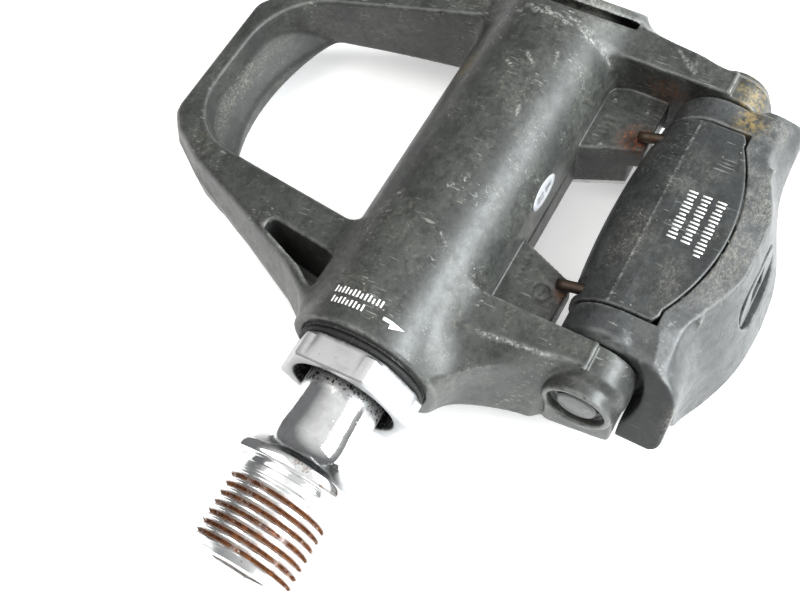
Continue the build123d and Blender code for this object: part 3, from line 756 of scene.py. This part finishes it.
def body_masks(points, normals):
    a, y, z = CENTRE - points[:, 0], *points[:, 1:].T
    chalk = near(points, (79, -4, 8.5), (6, 7, 4)) + 0.8 * near(points, (80, 2, 10), (5, 8, 4))
    chalk += 0.8 * near(points, (CENTRE + 26, 8, 6), (8, 9, 4))
    on_ledge = (y > 36) & (z > -7.6) & (z < -2.5) & (np.abs(a) < 13) & (normals[:, 2] > 0.2)
    arc = np.hypot(a, y - LEDGE_Y)
    rubbed = np.clip(1 - np.abs(a - 1) / 13, 0, 1) * np.clip(1.2 - np.abs(arc - 26.6) / 1.1, 0, 1)
    chalk = chalk + 1.1 * on_ledge * rubbed
    # Painted shade: the ledge darkens toward the hoop wall, and the toe hoop's walls facing the rear are
    # darkened.
    dark = on_ledge * np.clip((arc - 26.4) / 1.5, 0.25, 1)
    dark = dark + 0.6 * (y > 25) * (normals[:, 1] < -0.6) * (z > -8)
    rust = near(points, (CENTRE + 12.8, -17.2, -0.5), (3.2, 3.6, 2))
    rust += near(points, (39.5, -18.6, -0.8), (2.0, 2.0, 2))
    rust += 0.5 * near(points, (CENTRE + 20.9, -18, 2), (1.5, 4, 3))
    ochre = near(points, (CENTRE + 23, -29.0, 4.0), (4.2, 3.6, 3))
    ochre += 0.5 * near(points, (62, 8, 7), (3, 3, 3))
    scratch = 0
    chance = np.random.default_rng(7)
    rim = []
    for _ in range(60):
        x, angle = chance.uniform(72.2, 74.6), math.radians(chance.uniform(58, 158))
        turn, length = chance.uniform(-0.7, 0.7), chance.uniform(0.4, 1.9)
        r = min(BARREL_R, BARREL_R - (x - 73.4) * 0.8)
        here = np.array((x, r * math.cos(angle), r * math.sin(angle)))
        there = here + length * np.array((0.25 * turn, -math.sin(angle), math.cos(angle)))
        rim.append((here, there, chance.uniform(0.16, 0.28)))
    for start, end, width in BODY_SCRATCHES + rim:
        scratch = np.maximum(scratch, along(points, start, end, width))
    return {"chalk": chalk, "rust": rust, "ochre": ochre, "scratch": scratch, "dark": dark}


BODY_SCRATCHES = [
    ((77.9, -17.4, 6.2), (75.8, -19.7, 6.2), 0.26), ((75.8, -19.7, 6.2), (75.3, -20.7, 6.2), 0.36),
    ((78.9, -20.0, 6.2), (75.4, -20.7, 6.2), 0.24), ((76.9, -19.0, 6.2), (76.0, -20.4, 6.2), 0.30),
    ((65.2, 0.0, 10.5), (63.7, -1.6, 10.4), 0.19), ((67.3, -3.6, 9.9), (65.0, -4.2, 9.6), 0.19),
    ((62.9, 1.9, 10.3), (62.3, 0.9, 10.4), 0.24), ((57.0, -2.9, 10.1), (55.6, -3.1, 10.0), 0.19),
    ((35.0, -3.0, 10.1), (34.0, -4.2, 9.6), 0.19), ((43.9, -2.1, 10.3), (43.2, -2.0, 10.3), 0.19),
    ((42.0, -1.0, 10.4), (41.4, -0.5, 10.5), 0.19), ((39.0, 4.6, 9.4), (38.2, 5.2, 9.1), 0.19),
    ((26.6, -12.4, 5.9), (27.3, -18.6, 5.9), 0.26), ((27.3, -18.6, 5.9), (27.9, -25.6, 5.9), 0.26),
    ((73.4, -11.4, 6.0), (73.9, -18.6, 6.0), 0.26), ((73.9, -18.6, 6.0), (73.9, -25.4, 6.0), 0.22),
]


# ---------------------------------------------------------------- claw and its cover
STATION = [0, 5, 9, 14, 18.5, 21]
RIDGE_Y = [-38.8, -38.4, -36.9, -34.7, -34.5, -34.4]
RIDGE_Z = [5.0, 5.0, 5.0, 5.2, 4.6, 4.1]
MID_Y = [-40.5, -40.2, -39.4, -37.8, -37.4, -37.5]
MID_Z = [-2.6, -2.6, -3.0, -3.4, -1.5, 0.5]
FOOT_Y = [-43.0, -42.6, -41.8, -40.0, -37.9, -37.5]
WINDOW = rounded([(5.9, 0.8, 3.4), (5.9, -7.7, 4.0), (-5.9, -7.7, 4.0), (-5.9, 0.8, 3.4)], 9)


def flap_plan(c, inset):
    shoulder = meet(c.wide - (SHOULDER_IN - inset), -31.4 + inset - c.y)
    tongue = meet(rod(c.a, c.y - FLAP_Y - FLAP_R, FLAP_R - inset), c.wide - (FLAP_HALF - inset * 0.5))
    corner = (c.wide + (-31.5 - c.y) - 15.9 + inset) * DIAGONAL
    return join(shoulder, meet(tongue, corner))


def claw_rear(c):
    """How far a point lies behind the claw's rear surface."""
    ridge_y, ridge_z = bend(STATION, RIDGE_Y, c.wide), bend(STATION, RIDGE_Z, c.wide)
    mid_y, mid_z = bend(STATION, MID_Y, c.wide), bend(STATION, MID_Z, c.wide)
    foot_y = bend(STATION, FOOT_Y, c.wide)
    share = (c.z - mid_z) / (ridge_z - mid_z)
    bulge = np.clip((c.wide - 14) / 7, 0, 1)
    height = np.clip(share, 0, 1)
    upper = mid_y + (ridge_y - mid_y) * (share - bulge * 0.75 * height * (1 - height))
    lower = mid_y + (foot_y - mid_y) * (mid_z - c.z) / (mid_z - CLAW_BOTTOM)
    return meet((upper - c.y) * 0.94, (lower - c.y) * 0.97, 0.5)


def make_claw():
    c = Clay((25.6, -43.6, -14.4), (80.4, -19.9, 6.6), 0.25)
    band = c.z - (CLAW_TOP - 0.26 * np.maximum(flap_plan(c, 0), 0))
    valley = 0.153 * (c.wide - 13.7) - 0.360 * (c.y + 34.7) + 0.920 * (c.z - 5.2)
    top = meet(meet(band * 0.97, valley), c.z - CLAW_TOP)
    rear = claw_rear(c)
    side = (c.wide - (18.9 + 0.33 * (c.z - CLAW_BOTTOM))) * 0.95
    side = meet(side, c.wide - SHOULDER_OUT)
    shell = meet(meet(rear, top, 0.25), meet(CLAW_BOTTOM - c.z, side, 0.6), 0.4)
    shell = meet(shell, c.y - PIN_Y, 0.2)
    c.start(shell)

    slope = ((c.wide - 21.0) * 2.0 + (c.z - 4.1)) / 2.236
    ear = meet(meet(rear, EAR_BOTTOM - c.z, 1.6), meet(slope - 0.7 * (c.a < 0), top, 0.3), 0.4)
    ear = meet(ear, meet(c.y + 29.5, 16.0 - c.wide))
    c.add(ear, 0.1)
    shoulder = meet(c.pin - COVER_R, slab(c.wide, SHOULDER_IN, SHOULDER_OUT), 0.2)
    shoulder = meet(shoulder, (c.wide - SHOULDER_OUT + c.pin - COVER_R + 0.9) * DIAGONAL, 0.3)
    c.add(shoulder, 0.3)
    trim = meet((c.wide - SHOULDER_OUT + c.z - CLAW_TOP + 0.9) * DIAGONAL, c.wide - 30)
    c.cut(meet(-trim, -31.8 - c.y), 0.3)

    c.cut(meet(flap_plan(c, 0), slab(c.z, -8.0, 20)), 0.15)
    c.cut(meet(c.wide - SHOULDER_IN, PIN_Y - 0.1 - c.y))
    c.cut(meet(EAR_BOTTOM - 5.2 - c.z, meet(c.z - EAR_BOTTOM, -36.6 - c.y), 0.5), 0.3)
    c.cut(meet(c.z + 11.9, -34.4 - c.y), 0.3)
    c.cut(meet(c.pin - 6.7, SHOULDER_OUT - c.wide), 0.2)
    c.cut(meet(meet(-31.7 - c.y, c.z - PIN_Z), SHOULDER_OUT - c.wide))
    c.cut(c.pin - PIN_R - 0.77)

    c.cut(meet(outline(WINDOW, c.a, c.z), c.y + 36.8), 0.2)
    for half, rear_y, low, high in ((7.0, -35.2, -7.4, -1.2), (5.0, -38.6, -6.9, -1.8)):
        c.cut(meet(meet(c.wide - half, slab(c.y, rear_y, -30)), slab(c.z, low, high)))
    c.cut(meet(rod(c.a, c.z - BOLT_Z, 2.05), slab(c.y, -40, -30)))
    c.add(meet(meet(slab(c.wide, 10.4, 12.6), slab(c.y, -36, -30.6)), slab(c.z, 3.6, 5.05)))
    moulded("claw_shell", c, "rear_claw", "claw_composite", "rear_claw", claw_masks)


def claw_masks(points, normals):
    a, y, z = CENTRE - points[:, 0], *points[:, 1:].T
    top = (normals[:, 2] > 0.5) & (y < -31.5) & (z > 3.5)
    chalk = top * np.clip(1.1 - np.abs(a + 1) / 15, 0, 1) * np.clip((38.8 + y) / 4 + 0.5, 0.2, 1)
    chalk = chalk + 0.7 * near(points, (CENTRE + 19, -34.5, 4.5), (4, 3, 3))
    chalk = chalk + 0.9 * near(points, (CENTRE - 23.5, -37.4, -2), (3.5, 1.2, 4))
    ochre = near(points, (CENTRE + 18.5, -30.5, 5.6), (4.0, 3.0, 2))
    # Painted shade on the end faces of the claw's ears.
    dark = np.clip((np.abs(a) - 19.5) / 1.5, 0, 1) * (np.abs(normals[:, 0]) > 0.45) * (y < -29)
    scratch = along(points, (38.8, -33.2, 5.6), (35.0, -31.0, 5.2), 0.25)
    return {"chalk": chalk, "ochre": ochre, "dark": dark, "scratch": scratch}


def make_cover():
    c = Clay((37.0, -35.4, -4.0), (69.0, -18.0, 6.5), 0.20)
    deep = (7.85 - 0.8 * (c.wide / 13) ** 2) / COVER_R
    pin = np.hypot((c.y - PIN_Y) / deep, c.z - PIN_Z)
    shell = meet(pin - COVER_R, COVER_R - COVER_T - pin)
    front = meet(PIN_Y - c.y, -(c.z + 2.2 + 0.157 * (c.y - PIN_Y)))
    shell = meet(shell, front)
    flap = meet(flap_plan(c, 0.22), slab(c.z, CLAW_TOP - COVER_T, CLAW_TOP - 0.02), 0.15)
    flap = meet(flap, c.y - PIN_Y - 0.2)
    body = join(shell, flap, 0.1)
    body = meet(body, c.wide - COVER_HALF, 0.2)
    c.start(body)
    seam = meet(np.hypot(c.y + 24.6, c.z - 5.72) - 0.13, c.wide - 15.2)
    c.add(seam, 0.1)
    c.cut(meet(slab(c.wide, 11.8, 14.4), meet(slab(c.z, -5, 3.2), -23.5 - c.y)), 0.1)
    c.cut(meet((c.y + 30.3 + 0.6 * (15.8 - c.wide)) * 0.86, 13.8 - c.wide), 0.05)
    moulded("cover_shell", c, "rear_claw", "cover_composite", "spring_cover", cover_masks)


def cover_masks(points, normals):
    _, y, z = points.T
    seam = np.clip(1.2 - np.hypot(y + 24.6, z - 5.75) / 0.16, 0, 0.5)
    chalk = 0.35 * near(points, (60, -26, 6), (5, 4, 2)) + 0.45 * near(points, (48, -23.5, 5), (7, 4, 2.5))
    chalk += 0.4 * near(points, (44, -30, 6), (5, 3, 1))
    return {"chalk": chalk, "scratch": seam}


# ---------------------------------------------------------------- axle unit
def thread_radius(x, angle):
    """Left-hand thread: pitch 1.27 mm, flats on the crests, fading out at both ends."""
    phase = (x + THREAD_PITCH * angle / TURN) / THREAD_PITCH
    wave = abs((phase % 1.0) * 2 - 1)
    depth = (THREAD_R - THREAD_ROOT_R) * min(1.0, max(0.0, 1.35 * wave - 0.25))
    fade = min(1.0, max(0.0, (-1.5 - x) / 0.9))
    return THREAD_R - depth * fade


def make_axle():
    socket = hexagon(HEX_KEY, 30)
    rows = [(-5.4, 0.01), (-3.0, socket), (-11.6, socket), (-12.0, lambda t: socket(t) + 0.45)]
    rows += [(-12.0, 5.9), (THREAD_START, 6.05)]
    steps = 150
    for i in range(steps + 1):
        x = THREAD_START + 11.2 * i / steps
        chamfer = 6.15 + 0.9 * (x - THREAD_START)
        rows.append((x, lambda t, x=x, top=chamfer: min(thread_radius(x, t), top)))
    rows += [(-0.45, 6.75), (-0.02, 6.75), (0.0, 6.9), (0.0, 9.05), (0.10, 9.24), (0.28, 9.33), (1.2, 9.33),
             (1.42, 9.22), (1.52, 8.95)]
    for i in range(13):
        t = i / 12 * math.pi / 2
        rows.append((1.56 + 4.6 * (1 - math.cos(t)), 8.85 - 2.85 * math.sin(t)))
    rows += [(7.5, 5.82), (9.0, 5.68), (10.5, 5.55), (12.0, 5.47), (14.0, 5.45), (24.0, 5.45), (25.0, 4.89),
             (29.5, 4.89), (29.7, 4.39), (74.0, 4.39), (75.0, 3.6), (82.7, 3.6), (83.0, 3.3), (83.0, 0.01)]
    points, faces = lathe(rows, 144)
    piece("axle", points, faces, "spindle", "axle_chrome", ["spindle"], sharp=40)


def make_lock_nut():
    full, top = hexagon(NUT_FLATS, NUT_TURN, 9.75), hexagon(NUT_FLATS, NUT_TURN, 9.0)
    rows = [(17.0, 7.9), (17.0, 8.5), (16.9, top), (16.35, full), (13.25, full),
            (13.0, lambda t: full(t) - 0.22), (13.0, 7.55), (13.15, 7.3), (13.4, 7.18), (17.6, 7.18),
            (17.9, 5.75), (27.0, 5.75), (27.0, 9.02), (18.0, 9.02), (18.0, 7.9), (17.0, 7.9)]
    points, faces = lathe(rows[::-1], 180)
    obj = piece("lock_nut_hex", points, faces, "pedal_body", "lock_bolt_alloy", ["lock_bolt"], sharp=20)
    r = np.hypot(points[:, 1], points[:, 2])
    # Painted shade with dirt in the bore and on the end in the gap by the barrel; the ring round the hole
    # is dirt.
    inside = np.clip((7.5 - r) / 0.2, 0, 1) + 0.8 * (points[:, 0] > 16.8)
    inside += 0.35 * (r < 7.9) * (points[:, 0] < 13.3)
    paint(obj, "dirt_and_shade", inside)


def make_rings():
    tip = [(17.5 + 0.48 * math.cos(t), 8.5 + 0.6 * math.sin(t)) for t in np.linspace(0, TURN, 25)]
    tip[-1] = tip[0]
    points, faces = lathe(tip, 120)
    piece("o_ring_seal", points, faces, "pedal_body", "seal_rubber", ["o_ring"])
    lip = [(17.8, 5.6), (16.2, 5.52), (15.6, 5.52), (15.4, 5.8), (15.9, 6.3), (15.5, 6.7),
           (15.6, 7.1), (17.8, 7.14), (17.8, 5.6)]
    points, faces = lathe(lip[::-1], 120)
    piece("seal_lip", points, faces, "pedal_body", "seal_rubber", ["dust_seal"], sharp=50)


def make_pin():
    end = [(0, 0.01), (0, PIN_R - 0.4), (0.08, PIN_R - 0.2), (0.3, PIN_R)]
    near_end, far_end = CENTRE - BOSS_FACE + 0.3, CENTRE + FAR_FACE - 0.3
    rows = [(near_end + x, radius) for x, radius in end]
    rows += [(far_end - x, radius) for x, radius in end[::-1]]
    points, faces = lathe(rows, 72, (PIN_Y, PIN_Z))
    piece("hinge_pin", points, faces, "pedal_body", "pin_steel", ["pivot_pin"], sharp=35)


def make_spring(name, sign):
    """Torsion spring of six turns: one leg rests on the pad, the other on the tension nut."""
    start, stop, turns = 3.5, 13.1, 6.0
    front, rear = (-17.2, 0.36), (-33.2, -0.72)
    first = math.pi * 0.64
    last = first - TURN * turns - math.radians(38)
    path = []
    for k in range(int(turns * 30) + 1):
        t = k / (turns * 30)
        angle = first + (last - first) * t
        a = sign * (start + (stop - start) * t)
        y, z = PIN_Y + SPRING_COIL_R * math.cos(angle), PIN_Z + SPRING_COIL_R * math.sin(angle)
        path.append((CENTRE - a, y, z))
    head, tail = np.array(path[0]), np.array(path[-1])
    rear_end, front_end = np.array((head[0], *rear)), np.array((tail[0], *front))
    path = [rear_end + (head - rear_end) * k / 8 for k in range(8)] + path
    path += [tail + (front_end - tail) * k / 8 for k in range(1, 9)]
    points, faces = tube(path, SPRING_WIRE_R - 0.05, 10)
    return piece(name.replace("spring", "coil"), points, faces, None, "spring_steel", [name])


def make_indicator():
    """Tension indicator: a recessed plate with three fine ticks each side and a square hole."""
    c = Clay((46.9, -41.3, -7.6), (59.1, -32.8, 1.2), 0.12)
    plate = meet(outline(WINDOW, c.a, c.z) + 0.15, -6.3 - c.z, 0.5)
    face = (-39.75 + 0.10 * c.z - c.y) * 0.99
    back = c.y + 38.75 - 0.10 * c.z
    plate = meet(meet(plate, face, 0.12), back)
    hole = meet(c.wide - 2.1, slab(c.z, -5.4, -1.0))
    plate = meet(plate, -hole, 0.08)
    for z, low, high in ((-0.8, 3.2, 5.4), (-2.9, 3.1, 5.5), (-5.0, 3.1, 5.0)):
        tick = meet(np.abs(c.z - z) - 0.16, slab(c.wide, low, high))
        plate = meet(plate, -meet(tick, face + 0.25), 0.04)
    c.start(plate)
    for a in (4.5, -4.5):
        c.add(meet(rod(c.a - a, c.z - BOLT_Z, 0.9), slab(c.y, -39.2, -33.05)))
    points, quads, normals, _ = c.skin()
    piece("indicator_plate", points, quads, "adjuster_slide", "indicator_plastic",
          ["tension_indicator"], normals)


# ---------------------------------------------------------------- label and prints
def on_barrel(outline_points, thick):
    """Thin film on the barrel: outline_points are (x, angle in degrees), fanned from their middle."""
    middle = np.mean(outline_points, axis=0)
    rings, points = 5, []
    for r in (PRINT_R - 0.06, PRINT_R + thick):
        for share in np.linspace(0, 1, rings):
            for x, angle in outline_points:
                t = math.radians(middle[1] + (angle - middle[1]) * share)
                points.append((middle[0] + (x - middle[0]) * share, r * math.cos(t), r * math.sin(t)))
    n = len(outline_points)
    rim, layer = (rings - 1) * n, rings * n
    faces = [f[::-1] for f in bands(rings, n)] + bands(rings, n, layer)
    for k, j in zip(range(rim, layer), [*range(rim + 1, layer), rim]):
        faces.append((k, layer + k, layer + j, j))
    return points, faces


def bars_on_barrel(name, bars):
    points, faces = [], []
    for corners in bars:
        dense = []
        for (x0, t0), (x1, t1) in zip(corners, corners[1:] + corners[:1]):
            dense += [(x0 + (x1 - x0) * k / 4, t0 + (t1 - t0) * k / 4) for k in range(4)]
        p, f = on_barrel(dense, 0.01)
        faces += [[i + len(points) for i in face] for face in f]
        points += p
    piece(name, points, faces, "pedal_body", "label_film", material=INK)


def make_label():
    ring = [(50.3 + 3.2 * math.cos(t), 163.4 + 7.2 * math.sin(t)) for t in np.linspace(0, TURN, 49)[:-1]]
    points, faces = on_barrel(ring, 0.02)
    obj = piece("oval_label", points, faces, "pedal_body", "label_film", ["label"])
    x, y, z = np.array(points).T
    angle = np.degrees(np.arctan2(z, y))
    off = np.abs(x - 50.4)
    dots = (np.abs(off % 1.1 - 0.55) < 0.3) & (np.abs(angle - 163) < 2.5) & (off < 2.3)
    paint(obj, "mark", dots * 1.0)


def make_prints():
    """Turning-direction arrow beside two rows of fine strokes, and three such rows on the cover."""
    arrow = [(21.45, 103), (21.0, 103), (21.0, 109.5), (20.35, 109.5), (21.2, 120), (21.45, 109.5)]
    strokes = []
    for x, start, count in ((22.2, 60, 13), (20.7, 62, 9)):
        for k in range(count):
            t, top = start + 3.1 * k, 0.95 - 0.22 * (k % 3 == 1)
            strokes.append([(x, t), (x + top, t), (x + top, t + 1.35), (x, t + 1.35)])
    bars_on_barrel("arrow_print", [arrow] + strokes)

    points, faces = [], []
    for y, count in ((-31.9, 15), (-29.9, 13), (-28.0, 13)):
        for k in range(count):
            a = -4.2 + 0.62 * k
            tall = 0.62 - 0.18 * (k % 4 == 2)
            corners = [(a, y - tall), (a, y + tall), (a + 0.26, y + tall), (a + 0.26, y - tall)]
            first = len(points)
            for z in (CLAW_TOP - 0.05, CLAW_TOP + 0.01):
                points += [(CENTRE - u, v, z) for u, v in corners]
            faces += [[first + i for i in f] for f in
                      ((0, 1, 2, 3), (7, 6, 5, 4), (0, 4, 5, 1), (1, 5, 6, 2), (2, 6, 7, 3), (3, 7, 4, 0))]
    piece("cover_print", points, faces, "rear_claw", "label_film", material=INK)


make_body()
make_claw()
make_cover()
make_axle()
make_lock_nut()
make_rings()
make_pin()
springs = [make_spring("spring_inboard", 1), make_spring("spring_outboard", -1)]
make_indicator()
make_label()
make_prints()

# ---------------------------------------------------------------- CAD nodes that stay
KEPT = {record["node"]: record["material_slot"] for record in frame["record"]["subparts"]}
for node, obj in frame["nodes"].items():
    obj.data.materials.clear()
    obj.data.materials.append(MATERIALS[KEPT[node]])


# ---------------------------------------------------------------- floor, light and camera
def make_stage():
    low = cad_box[0][2] - 0.0002
    bpy.ops.mesh.primitive_plane_add(size=6, location=(0.05, 0, low))
    floor = bpy.context.object
    floor.name = "floor"
    p = Paint("floor_white", (0.90, 0.90, 0.895), 0.6, specular=0.2)
    p.tint((0.92, 0.92, 0.92), p.ramp(p.noise(60, 3), 0.4, 0.7))
    p.shader.inputs["Emission Color"].default_value = (1, 1, 1, 1)
    p.shader.inputs["Emission Strength"].default_value = 0.35
    floor.data.materials.append(p.done())


def area_light(name, place, aim, size, power, color):
    light = bpy.data.lights.new(name, "AREA")
    light.shape, light.size, light.size_y = "RECTANGLE", size[0], size[1]
    light.energy, light.color = power, color
    obj = bpy.data.objects.new(name, light)
    obj.location = place
    obj.rotation_euler = (Vector(aim) - Vector(place)).to_track_quat("-Z", "Y").to_euler()
    bpy.context.scene.collection.objects.link(obj)


def make_light():
    world = bpy.data.worlds.new("studio")
    bpy.context.scene.world = world
    world.use_nodes = True
    tree = world.node_tree
    place = tree.nodes.new("ShaderNodeTexCoord")
    dot = tree.nodes.new("ShaderNodeVectorMath")
    dot.operation = "DOT_PRODUCT"
    dot.inputs[1].default_value = (-0.25, -0.35, 0.90)
    tree.links.new(place.outputs["Generated"], dot.inputs[0])
    ramp = tree.nodes.new("ShaderNodeValToRGB")
    tree.links.new(dot.outputs["Value"], ramp.inputs[0])
    dark, bright = ramp.color_ramp.elements
    dark.position, dark.color = 0.20, (0.20, 0.20, 0.205, 1)
    bright.position, bright.color = 0.80, (0.98, 0.98, 0.98, 1)
    background = tree.nodes["Background"]
    tree.links.new(ramp.outputs[0], background.inputs[0])
    background.inputs[1].default_value = 1.0
    aim = (0.05, -0.01, 0)
    area_light("window", (0.22, -0.60, 0.40), aim, (0.60, 0.36), 13.0, (0.93, 0.98, 1.0))
    area_light("ceiling", (-0.15, 0.30, 0.85), aim, (0.8, 0.8), 5.0, (1.0, 0.99, 0.96))
    bpy.context.scene.view_settings.view_transform = "Standard"


def make_camera():
    camera = bpy.data.cameras.new("camera")
    camera.sensor_width, camera.lens = 36.0, 49.2
    camera.clip_start = 0.005
    obj = bpy.data.objects.new("camera", camera)
    right, up = Vector((0.4878, -0.8693, -0.0802)), Vector((0.792, 0.402, 0.4595))
    right.normalize()
    back = right.cross(up).normalized()
    up = back.cross(right)
    turn = Matrix((right, up, back)).transposed().to_4x4()
    obj.matrix_world = Matrix.Translation((-0.024576, -0.041281, 0.127925)) @ turn
    bpy.context.scene.collection.objects.link(obj)
    bpy.context.scene.camera = obj


make_stage()
make_light()
make_camera()

for obj in springs:
    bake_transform(obj)
